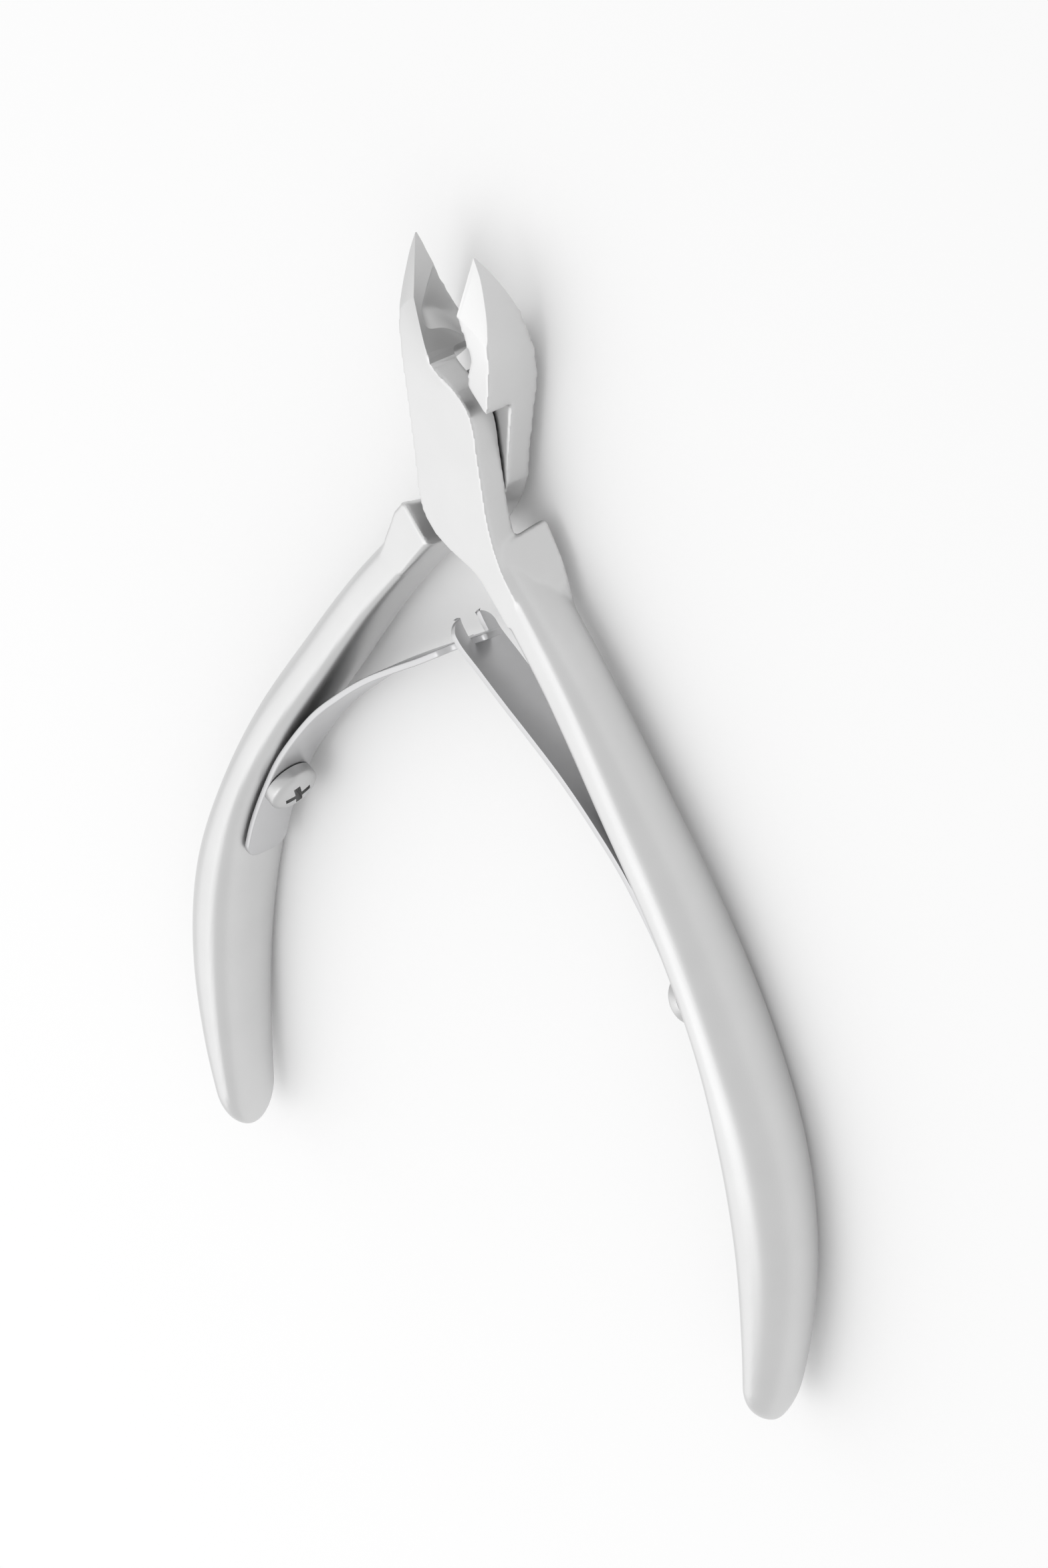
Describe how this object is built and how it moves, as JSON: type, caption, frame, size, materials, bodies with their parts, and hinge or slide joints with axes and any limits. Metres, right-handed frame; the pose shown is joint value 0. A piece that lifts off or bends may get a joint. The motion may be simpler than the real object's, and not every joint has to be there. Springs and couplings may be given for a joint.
{
  "type": "cuticle nipper",
  "caption": "Hand nipper for trimming nail cuticles: two lapped forged halves with short pointed cutting jaws, opened by a pair of interlocked leaf springs.",
  "frame": {"origin": "where the pivot axis meets the flat front face of the joint", "axes": "+Z out of the joint's front face, along the pivot axis; +Y from the handles towards the jaws, along the middle line between the two halves; +X towards the front half's handle; drawn sprung open"},
  "size_m": [0.0844, 0.1072, 0.0085],
  "materials": {
    "forged_steel": "fine bead-blasted satin stainless steel",
    "spring_steel": "rolled satin strip with polished edges",
    "screw_steel": "satin turned head"
  },
  "bodies": {
    "front": {"front_half": "forged_steel", "pivot_rivet": "forged_steel", "fork_spring_screw": "screw_steel"},
    "rear": {"rear_half": "forged_steel", "tongue_spring_screw": "screw_steel"},
    "tongue_leaf": {"tongue_spring": "spring_steel"},
    "fork_leaf": {"fork_spring": "spring_steel"}
  },
  "joints": [
    {"name": "jaw_pivot", "type": "hinge", "parent": "front", "child": "rear", "pos_m": [0, 0, -0.00285], "axis": [0, 0, 1], "range_deg": [0, 20.5], "stiffness_Nm_per_rad": 0.9, "springref_deg": -14.32},
    {"name": "tongue_spring_flex", "type": "hinge", "parent": "rear", "child": "tongue_leaf", "pos_m": [-0.0254, -0.0391, -0.00285], "axis": [0, 0, 1], "range_deg": [0, 7.6], "deforming": ["tongue_spring"]},
    {"name": "fork_spring_flex", "type": "hinge", "parent": "front", "child": "fork_leaf", "pos_m": [0.0254, -0.0391, -0.00285], "axis": [0, 0, 1], "range_deg": [-7.6, 0], "deforming": ["fork_spring"]}
  ],
  "couplings": [
    {"joint": "tongue_spring_flex", "follows": "jaw_pivot", "ratio": 0.363},
    {"joint": "fork_spring_flex", "follows": "jaw_pivot", "ratio": -0.363}
  ]
}
